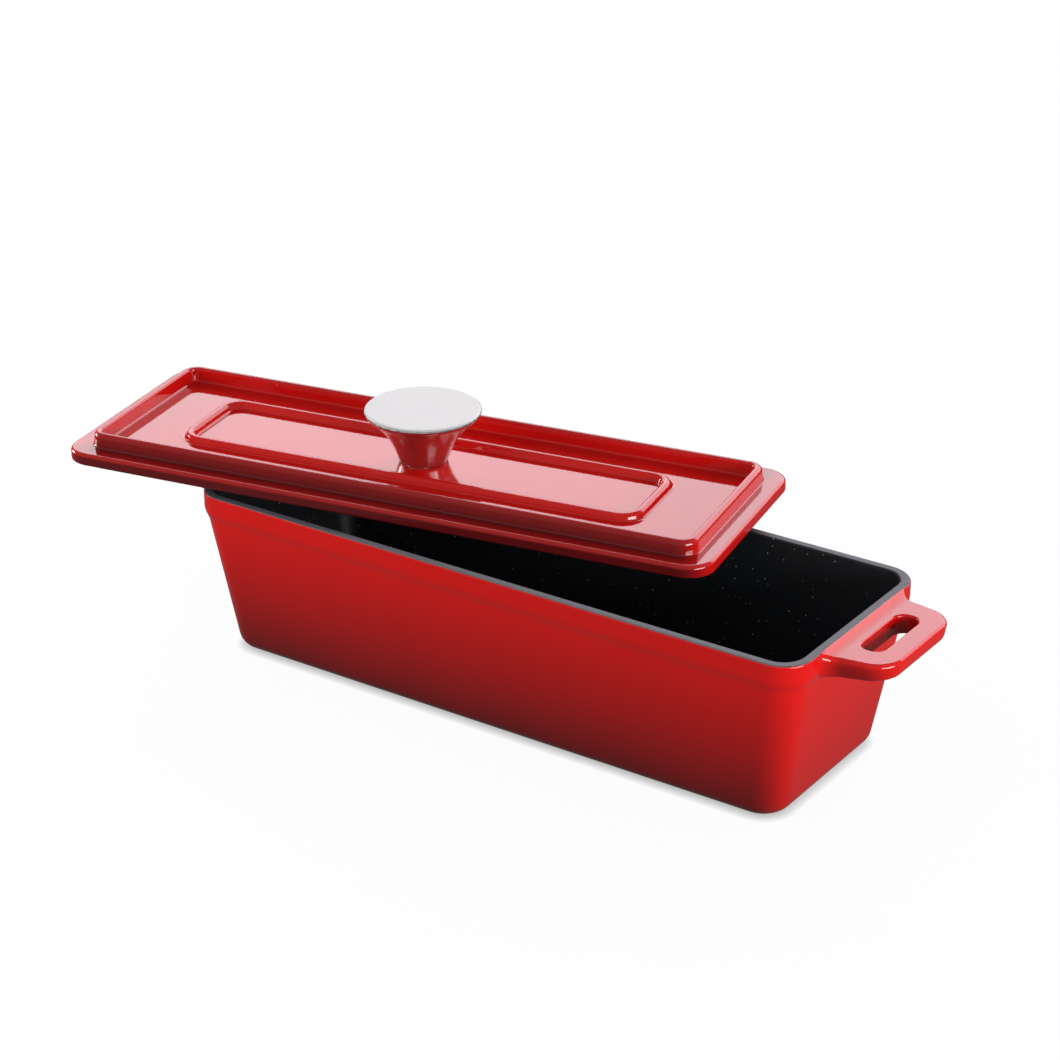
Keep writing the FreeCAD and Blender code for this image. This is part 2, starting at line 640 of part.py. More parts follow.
def make_screw():
    """Pan head screw with a cross recess, head down, its shank up through the lid."""
    body = new_body("knob_screw")
    head = "Sizes.head_diameter / 2"
    shank = "Sizes.thread_diameter / 2"
    length = "(Sizes.washer_thickness + Sizes.lid_thickness + Sizes.thread_reach)"
    corners = [
        ("0", "-Sizes.head_height"),
        (f"{head} - Sizes.head_bevel", "-Sizes.head_height"),
        (head, "-Sizes.head_height + Sizes.head_bevel"),
        (head, "0"),
        (shank, "0"),
        (shank, f"{length} - {shank} / 2"),
        (f"{shank} / 2", length),
        ("0", length),
    ]
    section = new_sketch(body, "screw_section", "XZ_Plane")
    outline(section, "screw", corners)
    revolve(body, "screw_turning", section)
    arm = "Sizes.drive_length / 2"
    notch = "Sizes.drive_breadth / 2"
    cross = new_sketch(body, "drive_outline", height="-Sizes.head_height")
    corners = [
        (arm, f"-{notch}"),
        (arm, notch),
        (notch, notch),
        (notch, arm),
        (f"-{notch}", arm),
        (f"-{notch}", notch),
        (f"-{arm}", notch),
        (f"-{arm}", f"-{notch}"),
        (f"-{notch}", f"-{notch}"),
        (f"-{notch}", f"-{arm}"),
        (notch, f"-{arm}"),
        (notch, f"-{notch}"),
    ]
    outline(cross, "cross", corners)
    pocket(body, "drive", cross, "Sizes.drive_depth", reverse=True)
    place_on_lid(body, f"{LID_Z} - Sizes.washer_thickness")
    return body


def make_washer():
    """Flat washer between the screw's head and the lid's underside."""
    body = new_body("knob_washer")
    ring = new_sketch(body, "washer_outline")
    circle(ring, "across", "Sizes.washer_diameter")
    pad(body, "washer", ring, "Sizes.washer_thickness", reverse=True)
    hole = new_sketch(body, "washer_hole_outline")
    circle(hole, "hole", "Sizes.thread_diameter + 2 * Sizes.hole_play")
    pocket(body, "washer_hole", hole)
    place_on_lid(body, LID_Z)
    return body


def check(bodies):
    """Stops if an object failed or a piece isn't one valid solid."""
    for item in doc.Objects:
        if "Invalid" in item.State or "Error" in item.State:
            raise RuntimeError(f"{item.Name}: {item.State}")
    for body in bodies:
        shape = body.Shape
        if shape.isNull() or not shape.isValid() or len(shape.Solids) != 1:
            raise RuntimeError(f"{body.Label} isn't one valid solid")


pieces = [make_dish(), make_lid(), make_knob(), make_screw(), make_washer()]
doc.recompute()
check(pieces)
for piece in pieces:
    piece.Shape.exportStep(f"parts/{piece.Label}.step")
    box = piece.Shape.BoundBox
    print(
        piece.Label,
        f"volume {piece.Shape.Volume / 1000:.1f} cm3,",
        f"x {box.XMin:.2f} to {box.XMax:.2f}, y {box.YMin:.2f} to {box.YMax:.2f},",
        f"z {box.ZMin:.2f} to {box.ZMax:.2f}",
    )
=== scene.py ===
import math

import bpy
import numpy as np
from bpy.props import FloatProperty, FloatVectorProperty, PointerProperty
from bpy.types import Operator, Panel, PropertyGroup
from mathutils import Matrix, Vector


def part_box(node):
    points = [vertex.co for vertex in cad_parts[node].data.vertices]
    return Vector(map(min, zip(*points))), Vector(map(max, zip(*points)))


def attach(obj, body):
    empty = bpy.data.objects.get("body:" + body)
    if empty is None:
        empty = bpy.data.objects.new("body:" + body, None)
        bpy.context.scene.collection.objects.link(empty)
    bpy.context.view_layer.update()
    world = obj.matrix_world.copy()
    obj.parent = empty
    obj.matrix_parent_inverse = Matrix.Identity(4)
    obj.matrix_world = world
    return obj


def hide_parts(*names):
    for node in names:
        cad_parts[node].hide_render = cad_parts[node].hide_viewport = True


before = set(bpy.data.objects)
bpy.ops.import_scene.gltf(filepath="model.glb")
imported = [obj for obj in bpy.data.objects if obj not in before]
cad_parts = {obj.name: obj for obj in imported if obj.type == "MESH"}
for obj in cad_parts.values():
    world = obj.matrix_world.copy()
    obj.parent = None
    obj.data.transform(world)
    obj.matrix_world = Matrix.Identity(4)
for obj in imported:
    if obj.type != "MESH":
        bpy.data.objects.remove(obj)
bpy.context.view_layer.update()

bl_info = {
    "name": "Terrine dish",
    "version": (1, 0, 0),
    "blender": (4, 5, 0),
    "location": "View3D > Sidebar > Terrine",
    "description": "Enamelled cast iron terrine dish with a lid lying askew and a steel knob",
    "category": "Add Mesh",
}

MM = 0.001
DISH_LOW, DISH_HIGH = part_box("dish")
LID_LOW, LID_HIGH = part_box("lid")
KNOB_LOW, KNOB_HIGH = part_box("knob")

# Columns of a casting's profile: inset along and across, corner radius, height, share
# inside, depth of the deep red tone (partly the enamel's ombre, partly painted shade), and
# how far the corner is eased
ALONG, ACROSS, CORNER, HEIGHT, INSIDE, OMBRE_AND_SHADE, EASE = range(7)

# Columns of the knob's profile: distance from the axis, height above the tray
RADIUS, LIFT = range(2)

NO_TRIANGLES = np.zeros((0, 3), int)


# ---------------------------------------------------------------------------------------
# Sizes and colours
# ---------------------------------------------------------------------------------------


def length(name, description, default):
    """Length property in metres."""
    return FloatProperty(
        name=name, description=description, default=default, unit="LENGTH", subtype="DISTANCE"
    )


def colour(name, description, default):
    """Linear colour property."""
    return FloatVectorProperty(
        name=name, description=description, default=default, subtype="COLOR", size=3, min=0, max=1
    )


def level(name, description, default):
    """Plain number property."""
    return FloatProperty(name=name, description=description, default=default, min=0)


class TERRINE_PG_dish(PropertyGroup):
    """Sizes of the dish."""

    rim_length: length("Rim length", "Length over the rim, grips not counted", 0.280)
    rim_width: length("Rim width", "Width over the rim", DISH_HIGH.y - DISH_LOW.y)
    rim_corner: length("Rim corner", "Corner radius of the rim, outside", 0.013)
    rim_wall: length("Rim wall", "Wall at the rim", 0.004)
    height: length("Height", "Underside to rim", DISH_HIGH.z)
    band: length("Band", "Rim to the crease under the band", 0.0114)
    step: length("Step", "How far the band stands out from the wall", 0.0016)
    end_lean: length("End lean", "How far an end wall leans in", 0.0094)
    side_lean: length("Side lean", "How far a side wall leans in", 0.0064)
    floor: length("Floor", "Thickness of the floor", 0.005)
    wall: length("Wall", "Wall at the floor", 0.0042)
    grip_reach: length("Grip reach", "How far a grip stands out", DISH_HIGH.x - 0.140)
    grip_width: length("Grip width", "Width of a grip", 0.055)
    grip_drop: length("Grip drop", "Top of a grip below the rim", 0.002)
    grip_thickness: length("Grip thickness", "Thickness of a grip at its root", 0.0087)
    grip_rise: length("Grip rise", "How far the underside rises towards the tip", 0.0020)
    grip_offset: length("Grip offset", "How far a grip sits off the middle", 0.0014)
    slot_inset: length("Slot inset", "From the rim's end to the finger slot", 0.0063)
    slot_breadth: length("Slot breadth", "Finger slot, along the dish", 0.0094)
    slot_length: length("Slot length", "Finger slot, across the dish", 0.0328)


class TERRINE_PG_lid(PropertyGroup):
    """Sizes and place of the lid."""

    plate_length: length("Plate length", "Length of the lid's plate", 0.2818)
    plate_width: length("Plate width", "Width of the lid's plate", 0.1006)
    plate_corner: length("Plate corner", "Corner radius of the plate", 0.011)
    thickness: length("Thickness", "Thickness of the plate", 0.0051)
    flange: length("Flange", "Plate outside the raised rim", 0.0078)
    tray_height: length("Tray height", "Raised rim above the plate", 0.0059)
    ridge: length("Ridge", "Ridge below the plate", 0.0035)
    bead_length: length("Bead length", "Length over the bead in the tray", 0.2049)
    bead_width: length("Bead width", "Width over the bead in the tray", 0.0464)
    bead_height: length("Bead height", "Height of the bead above the tray", 0.0028)
    shift: FloatVectorProperty(
        name="Shift",
        description="Lid's centre along and across the dish",
        default=(-0.0685, 0.01327),
        size=2,
        unit="LENGTH",
        subtype="TRANSLATION",
    )
    turn: FloatProperty(
        name="Turn",
        description="How far the lid lies turned on the dish",
        default=math.radians(10.4),
        unit="ROTATION",
        subtype="ANGLE",
    )


class TERRINE_PG_knob(PropertyGroup):
    """Sizes of the knob."""

    height: length("Height", "Height above the tray", KNOB_HIGH.z - KNOB_LOW.z)
    diameter: length("Diameter", "Across the flat top", KNOB_HIGH.x - KNOB_LOW.x)
    foot: length("Foot", "Across the foot", 0.0186)
    neck: length("Neck", "Across the end of the straight neck", 0.0238)
    neck_height: length("Neck height", "End of the straight neck", 0.0058)
    trumpet: length("Trumpet", "Hollow radius of the flare", 0.033)
    bore: length("Bore", "Radius of the screw's bore", 0.00255)
    off_centre: FloatVectorProperty(
        name="Off centre",
        description="How far the knob sits off its screw",
        default=(-0.0004, 0.0010, 0.0),
        size=3,
        unit="LENGTH",
        subtype="TRANSLATION",
    )


class TERRINE_PG_finish(PropertyGroup):
    """Colours of the enamels and the steel."""

    red: colour("Red enamel", "Glossy red enamel", (0.600, 0.0070, 0.0055))
    # Deep red that the enamel runs to: partly the enamel's own ombre, partly painted shade
    ombre_and_shade_red: colour("Deep red", "Red enamel where it runs darker", (0.085, 0.0045, 0.0055))
    black: colour("Black enamel", "Matte enamel inside", (0.0100, 0.0120, 0.0145))
    speck: colour("Speck", "Pale specks in the black enamel", (0.50, 0.52, 0.55))
    rim: colour("Rim", "Thin grey coat on the rim", (0.085, 0.090, 0.105))
    steel: colour("Steel", "Satin stainless steel", (0.66, 0.65, 0.64))
    satin: colour("Satin", "Blasted face of the knob", (0.63, 0.63, 0.62))


class TERRINE_PG_studio(PropertyGroup):
    """Levels of the light."""

    sheet: level("Back sheet", "Brightness of the white sheet behind", 3.0)
    key: level("Key", "Brightness of the lamp at the right", 13.0)
    fill: level("Fill", "Brightness of the lamp at the left", 14.0)
    front: level("Front", "Brightness of the lamp at the front left", 5.2)
    ambient: level("Ambient", "Light from all round", 0.30)
    floor: colour("Floor", "Floor as the object sees it", (0.13, 0.13, 0.13))
    # Share of the floor that glows white with a painted contact shadow; the rest takes the lamps'
    # shadow
    ground: level("Ground", "White of the floor that no shadow reaches", 0.94)


# ---------------------------------------------------------------------------------------
# Surfaces
# ---------------------------------------------------------------------------------------


def soften(corners, eases, plane, steps=6, guard=0.25 * MM):
    """Profile through the given corners, each eased by a quarter of an ellipse.

    With A and B on the two edges at C, both the easing length away from it, the curve is
    C + (1 - sin s)(A - C) + (1 - cos s)(B - C) for s from 0 to 90 degrees. It leaves A and
    reaches B along the edges. One more point close to A and to B keeps the flats flat.
    """
    corners = np.asarray(corners, float)
    rows = []
    for index, ease in enumerate(eases):
        corner = corners[index]
        if ease == 0:
            rows.append(corner[None])
            continue
        back = corners[index - 1] - corner
        ahead = corners[index + 1] - corner
        back /= np.linalg.norm(back[list(plane)])
        ahead /= np.linalg.norm(ahead[list(plane)])
        s = np.linspace(0, math.pi / 2, steps + 1)[:, None]
        arc = corner + (1 - np.sin(s)) * ease * back + (1 - np.cos(s)) * ease * ahead
        rows.append((corner + (ease + guard) * back)[None])
        rows.append(arc)
        rows.append((corner + (ease + guard) * ahead)[None])
    return np.concatenate(rows)


def turn_of_rectangle(corner_steps=10, side_steps=20):
    """One turn round a rounded rectangle: factors of the corner's centre and the angle.

    Each quarter has an arc, on which only the angle changes, and then a side, on which
    only the two factors change, from one corner's signs to the next one's.
    """
    signs = np.array([(1, 1), (-1, 1), (-1, -1), (1, -1)], float)
    arc = np.linspace(0, math.pi / 2, corner_steps + 1)
    side = np.linspace(0, 1, side_steps + 2)[1:-1]
    factors, angles = [], []
    for quarter in range(4):
        here, there = signs[quarter], signs[(quarter + 1) % 4]
        factors.append(np.repeat(here[None], len(arc), 0))
        angles.append(arc + quarter * math.pi / 2)
        factors.append(here + side[:, None] * (there - here))
        angles.append(np.full(len(side), (quarter + 1) * math.pi / 2))
    factors = np.concatenate(factors)
    return factors[:, 0], factors[:, 1], np.concatenate(angles)


def carry(profile, half_length, half_width, turn):
    """Rounded rectangles, one for each point of the profile.

    With factors f, g and angle a of the turn, x = f (half length - inset - corner) +
    corner cos a, and y = g (half width - inset - corner) + corner sin a.
    """
    f, g, a = turn
    corner = profile[:, CORNER, None]
    x = f * (half_length - profile[:, ALONG, None] - corner) + corner * np.cos(a)
    y = g * (half_width - profile[:, ACROSS, None] - corner) + corner * np.sin(a)
    z = np.broadcast_to(profile[:, HEIGHT, None], x.shape)
    return np.stack([x, y, z], -1)


def grid_faces(rows, columns, wrap_rows=False):
    """Four-sided faces between the rows of a grid whose columns close on themselves."""
    number = np.arange(rows * columns).reshape(rows, columns)
    if wrap_rows:
        number = np.concatenate([number, number[:1]])
    onward = np.roll(number, -1, 1)
    quads = np.stack([number[:-1], onward[:-1], onward[1:], number[1:]], -1)
    return quads.reshape(-1, 4)


def fan_faces(ring, pole):
    """Triangles from one ring of vertices to a pole."""
    return np.stack([ring, np.roll(ring, -1), np.full(len(ring), pole)], -1)


def outward(points, quads, triangles):
    """The same faces, all turned round if the shell they close has a negative volume."""
    halves = np.concatenate([quads[:, [0, 1, 2]], quads[:, [0, 2, 3]], triangles])
    a, b, c = (points[halves[:, k]] for k in range(3))
    if np.einsum("ij,ij->", a, np.cross(b, c)) < 0:
        return quads[:, ::-1], triangles[:, ::-1]
    return quads, triangles


def put(name, shells, attributes, material):
    """Object at the origin with its place in its mesh, from closed shells of the same part."""
    points, faces, base = [], [], 0
    for shell_points, quads, triangles in shells:
        quads, triangles = outward(shell_points, quads, triangles)
        points.append(shell_points)
        faces += (quads + base).tolist() + (triangles + base).tolist()
        base += len(shell_points)
    mesh = bpy.data.meshes.new(name)
    mesh.from_pydata(np.concatenate(points).tolist(), [], faces)
    for attribute, values in attributes.items():
        layer = mesh.attributes.new(attribute, "FLOAT", "POINT")
        layer.data.foreach_set("value", np.concatenate(values).astype(np.float32))
    mesh.shade_smooth()
    mesh.materials.append(material)
    piece = bpy.data.objects.new(name, mesh)
    bpy.context.collection.objects.link(piece)
    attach(piece, "root")
    return piece


# ---------------------------------------------------------------------------------------
# Materials
# ---------------------------------------------------------------------------------------


class Link:
    """Output of a node. Arithmetic on it adds Math nodes to its material."""

    def __init__(self, finish, socket):
        self.finish = finish
        self.socket = socket

    def math(self, operation, *values):
        inputs = dict(enumerate(values))
        return self.finish.add("ShaderNodeMath", {"operation": operation}, inputs)

    def __add__(self, other):
        return self.math("ADD", self, other)

    __radd__ = __add__

    def __sub__(self, other):
        return self.math("SUBTRACT", self, other)

    def __rsub__(self, other):
        return self.math("SUBTRACT", other, self)

    def __mul__(self, other):
        return self.math("MULTIPLY", self, other)


class Finish:
    """Nodes of a material or of the world, and the way they are added."""

    def __init__(self, owner):
        owner.use_nodes = True
        self.owner = owner
        self.tree = owner.node_tree
        self.tree.nodes.clear()

    def add(self, kind, settings=None, inputs=None, output=0):
        """Adds a node with its settings, then the values or links of its sockets."""
        node = self.tree.nodes.new(kind)
        for key, setting in (settings or {}).items():
            setattr(node, key, setting)
        for key, value in (inputs or {}).items():
            if isinstance(value, Link):
                self.tree.links.new(value.socket, node.inputs[key])
            else:
                node.inputs[key].default_value = value
        return Link(self, node.outputs[output]) if node.outputs else None

    def place(self, shift=(0, 0, 0)):
        """Object coordinates, moved by a shift."""
        where = self.add("ShaderNodeTexCoord", output="Object")
        mapping = {"Location": shift, "Vector": where}
        return self.add("ShaderNodeMapping", {"vector_type": "POINT"}, mapping)

    def noise(self, vector, scale, detail=2.0, rough=0.5):
        """Noise from 0 to 1, its scale in waves per metre."""
        inputs = {"Vector": vector, "Scale": scale, "Detail": detail, "Roughness": rough}
        return self.add("ShaderNodeTexNoise", None, inputs)

    def attribute(self, name):
        """A piece's own point attribute."""
        return self.add("ShaderNodeAttribute", {"attribute_name": name}, output="Fac")

    def rise(self, value, low, high):
        """Smooth step from 0 to 1 while a value goes from one level to another."""
        inputs = {0: value, 1: low, 2: high}
        return self.add("ShaderNodeMapRange", {"interpolation_type": "SMOOTHSTEP"}, inputs)

    def blend(self, factor, first, second):
        """Mix of two colours."""
        inputs = {0: factor, 6: self.paint(first), 7: self.paint(second)}
        return self.add("ShaderNodeMix", {"data_type": "RGBA"}, inputs, output=2)

    def paint(self, value):
        """A colour with its fourth channel, or a link as it is."""
        return value if isinstance(value, Link) else (*value, 1.0)

    def bump(self, height, distance, normal=None):
        """Relief from a height between 0 and 1 and its depth in metres."""
        inputs = {"Height": height, "Distance": distance, "Strength": 1.0}
        if normal is not None:
            inputs["Normal"] = normal
        return self.add("ShaderNodeBump", None, inputs)

    def close(self, **sockets):
        """Principled shader with the given sockets, led to the output."""
        inputs = {key.replace("_", " "): value for key, value in sockets.items()}
        self.surface(self.add("ShaderNodeBsdfPrincipled", None, inputs))
        return self.owner

    def surface(self, shader):
        """Leads a shader to the material's output."""
        self.add("ShaderNodeOutputMaterial", None, {"Surface": shader})


def enamel(name, colours, rim_from=0.03, rim_to=0.86):
    """Red enamel, the grey coat of the rim and the black enamel, told apart by attributes.

    The attribute inside runs from 0 on the red side to 1 on the black side, and the rim
    lies between. A second attribute says how far the red runs to its deep tone, which is
    partly the enamel's ombre and partly painted shade and painted reflection of dark
    surroundings.
    """
    finish = Finish(bpy.data.materials.new(name))
    where = finish.place()
    cloud = finish.noise(where, scale=22.0, detail=3.0)
    ripple = finish.noise(where, scale=160.0, detail=1.0)
    grit = finish.noise(where, scale=2600.0, detail=4.0, rough=0.7)
    coarse = finish.noise(where, scale=700.0, detail=3.0, rough=0.6)

    ragged, mottled = 0.04, 0.10
    inside = finish.attribute("inside") + (coarse - 0.5) * ragged
    ombre_and_shade = finish.attribute("ombre_and_shade") + (cloud - 0.5) * mottled

    rim_blur, black_blur = 0.07, 0.06
    rimmed = finish.rise(inside, rim_from, rim_from + rim_blur)
    blacked = finish.rise(inside, rim_to, rim_to + black_blur)

    # Red run towards the deep tone: partly the enamel's ombre, partly painted shade
    red = finish.blend(ombre_and_shade, colours.red, colours.ombre_and_shade_red)
    fleck = finish.rise(grit, 0.54, 0.70)
    paler = 3.2
    rim = finish.blend(fleck, colours.rim, [min(1.0, paler * c) for c in colours.rim])

    cells = {"Vector": where, "Scale": 400.0, "Randomness": 1.0}
    dots = finish.add("ShaderNodeTexVoronoi", {"feature": "F1"}, cells, output="Distance")
    chosen = finish.add("ShaderNodeTexVoronoi", {"feature": "F1"}, cells, output="Color")
    channel = finish.add("ShaderNodeSeparateColor", None, {0: chosen}, output=0)
    speck = (1 - finish.rise(dots, 0.05, 0.14)) * finish.rise(channel, 0.50, 0.55)
    black = finish.blend(speck, colours.black, colours.speck)

    paint = finish.blend(blacked, finish.blend(rimmed, red, rim), black)
    gloss, rim_rough, black_less, black_uneven = 0.055, 0.52, 0.16, 0.12
    rough = gloss + rimmed * rim_rough - blacked * (black_less - coarse * black_uneven)
    relief = finish.bump(ripple, distance=0.010 * MM)
    relief = finish.bump(grit * rimmed, distance=0.030 * MM, normal=relief)
    return finish.close(Base_Color=paint, Roughness=rough, Normal=relief, IOR=1.52)


def satin_steel(name, colours, centre, satin_above=1.0):
    """Turned steel with fine rings about its axis, blasted above a height."""
    finish = Finish(bpy.data.materials.new(name))
    where = finish.place((-centre[0], -centre[1], 0.0))
    flat = finish.add(
        "ShaderNodeVectorMath", {"operation": "MULTIPLY"}, {0: where, 1: (1.0, 1.0, 0.0)}
    )
    radius = finish.add("ShaderNodeVectorMath", {"operation": "LENGTH"}, {0: flat}, output="Value")
    heights = finish.add("ShaderNodeSeparateXYZ", None, {0: where}, output=2)
    along = finish.add("ShaderNodeCombineXYZ", None, {0: radius, 1: heights})
    rings = finish.noise(along, scale=5200.0, detail=3.0, rough=0.7)
    cloud = finish.noise(where, scale=90.0, detail=2.0)

    darker, edge = 0.93, 0.4 * MM
    patches = finish.rise(cloud, 0.25, 0.75)
    paint = finish.blend(patches, colours.steel, [darker * c for c in colours.steel])
    face = finish.rise(heights, satin_above, satin_above + edge)
    paint = finish.blend(face, paint, colours.satin)

    turned, blasted, ring_change, cloud_change = 0.19, 0.36, 0.10, 0.05
    rough = turned + face * blasted
    rough = rough + (rings - 0.5) * ring_change + (cloud - 0.5) * cloud_change
    metallic = 1 - face * 0.6
    relief = finish.bump(rings, distance=0.0020 * MM)
    return finish.close(Base_Color=paint, Roughness=rough, Metallic=metallic, Normal=relief)


# ---------------------------------------------------------------------------------------
# Pieces
# ---------------------------------------------------------------------------------------


def dish_profile(s):
    """From the underside up the wall, over the band and the rim, and down to the floor."""
    crease = s.height - s.band
    far_x, far_y = s.step + s.end_lean, s.step + s.side_lean
    slope_x, slope_y = s.end_lean / crease, s.side_lean / crease
    in_x, in_y = far_x - slope_x * s.floor + s.wall, far_y - slope_y * s.floor + s.wall
    corner, wall_corner, inner_corner = s.rim_corner, 11.5 * MM, 7.3 * MM
    shoulder, ombre_and_shade_half_way = 3.5 * MM, 0.45
    middle_x = far_x + (s.step - far_x) * 0.5
    middle_y = far_y + (s.step - far_y) * 0.5
    # Shade column: the wall runs to the deep red towards the underside, partly ombre and partly
    # painted shade
    rows = [
        (far_x + 9 * MM, far_y + 9 * MM, 2.5 * MM, 0, 0, 1, 0),
        (far_x, far_y, wall_corner, 0, 0, 1, 5.4 * MM),
        (middle_x, middle_y, wall_corner, crease * 0.5, 0, ombre_and_shade_half_way, 0),
        (s.step, s.step, wall_corner, crease, 0, 0, 1.5 * MM),
        (0, 0, corner, crease + shoulder, 0, 0, 1.7 * MM),
        (0, 0, corner, s.height, 0, 0, 0.9 * MM),
        (s.rim_wall, s.rim_wall, corner - s.rim_wall, s.height, 1, 0, 0.8 * MM),
        (in_x, in_y, inner_corner, s.floor, 1, 0, 7.0 * MM),
        (in_x + 10 * MM, in_y + 10 * MM, inner_corner - 4 * MM, s.floor, 1, 0, 0),
    ]
    table = np.array(rows)
    return soften(table[:, :EASE], table[:, EASE], (ACROSS, HEIGHT))


def dish_walls(s):
    """Closed shell of the dish without its grips, and its two attributes."""
    profile = dish_profile(s)
    turn = turn_of_rectangle()
    rings = carry(profile, s.rim_length / 2, s.rim_width / 2, turn)
    rows, columns = rings.shape[:2]
    poles = [(0, 0, profile[0, HEIGHT]), (0, 0, profile[-1, HEIGHT])]
    points = np.concatenate([rings.reshape(-1, 3), poles])
    first = np.arange(columns)
    last = first + (rows - 1) * columns
    triangles = np.concatenate(
        [fan_faces(first[::-1], rows * columns), fan_faces(last, rows * columns + 1)]
    )
    inside = np.append(np.repeat(profile[:, INSIDE], columns), (0, 1))
    # The deep tone, partly painted shade, is weaker on the end walls than on the front and back
    # walls
    less_at_ends = 0.62
    sideways = 1 - less_at_ends * np.cos(turn[2]) ** 2
    ombre_and_shade = np.append((profile[:, OMBRE_AND_SHADE, None] * sideways).ravel(), (1, 0))
    return (points, grid_faces(rows, columns), triangles), inside, ombre_and_shade


def evenly(curve, spacing):
    """Points at even distances along an open curve."""
    steps = np.linalg.norm(np.diff(curve, axis=0), axis=1)
    along = np.concatenate([[0], np.cumsum(steps)])
    wanted = np.linspace(0, along[-1], int(along[-1] / spacing) + 1)
    return np.stack([np.interp(wanted, along, curve[:, k]) for k in range(2)], -1)


def grip_outline(s):
    """Open curve round a grip, seen from above, from one flare's end to the other's.

    Each flare is a quarter of a circle that leaves the rim's end wall along it and turns
    into the side. The sides draw in towards the tip, whose corners are quarter ellipses.
    """
    rim_end = s.rim_length / 2
    tip = rim_end + s.grip_reach
    wider_root, narrower_tip, tip_corner = 0.9 * MM, 1.9 * MM, 9.5 * MM
    half_root, half_tip = s.grip_width / 2 + wider_root, s.grip_width / 2 - narrower_tip
    hollow, into_wall, spacing = 8.0 * MM, 0.3 * MM, 0.8 * MM
    angle = np.linspace(0, math.pi / 2, 24)
    flare = np.stack(
        [
            rim_end - into_wall + hollow * (1 - np.cos(angle)),
            -half_root - hollow * (1 - np.sin(angle)),
        ],
        -1,
    )
    corners = [flare[-1], (tip, -half_tip), (tip, 0)]
    side = soften(corners, [0, tip_corner, 0], (0, 1), 12)
    near = np.concatenate([flare, side[1:]])
    far = near[-2::-1] * (1, -1)
    return evenly(np.concatenate([near, far]), spacing)


def slot_outline(s, grow, towards, middle):
    """The finger slot's outline, grown by a margin, in the directions of other points.

    The outline's points are read off by their angle about the slot's middle. For this the
    other points are drawn away on the rim's side, so that the rays to the flares spread.
    An angle is never less than a small step ahead of the last one.
    """
    f, g, a = turn_of_rectangle(12, 28)
    corner = 4.2 * MM + grow
    drawn_away, least_step = 2.5, 0.008
    x = f * (s.slot_breadth / 2 + grow - corner) + corner * np.cos(a)
    y = g * (s.slot_length / 2 + grow - corner) + corner * np.sin(a)
    own = np.unwrap(np.arctan2(y, x))
    own = np.concatenate([own - 2 * math.pi, own, own + 2 * math.pi])
    offset = towards - middle
    offset[:, 0] *= np.where(offset[:, 0] < 0, drawn_away, 1.0)
    seen = np.unwrap(np.arctan2(offset[:, 1], offset[:, 0]))
    ahead = np.maximum(np.diff(seen, append=seen[0] + 2 * math.pi), least_step)
    ahead *= 2 * math.pi / ahead.sum()
    wanted = seen[0] + np.concatenate([[0], np.cumsum(ahead)[:-1]])
    plan = [np.interp(wanted, own, np.tile(values, 3)) for values in (x, y)]
    return np.stack(plan, -1) + middle


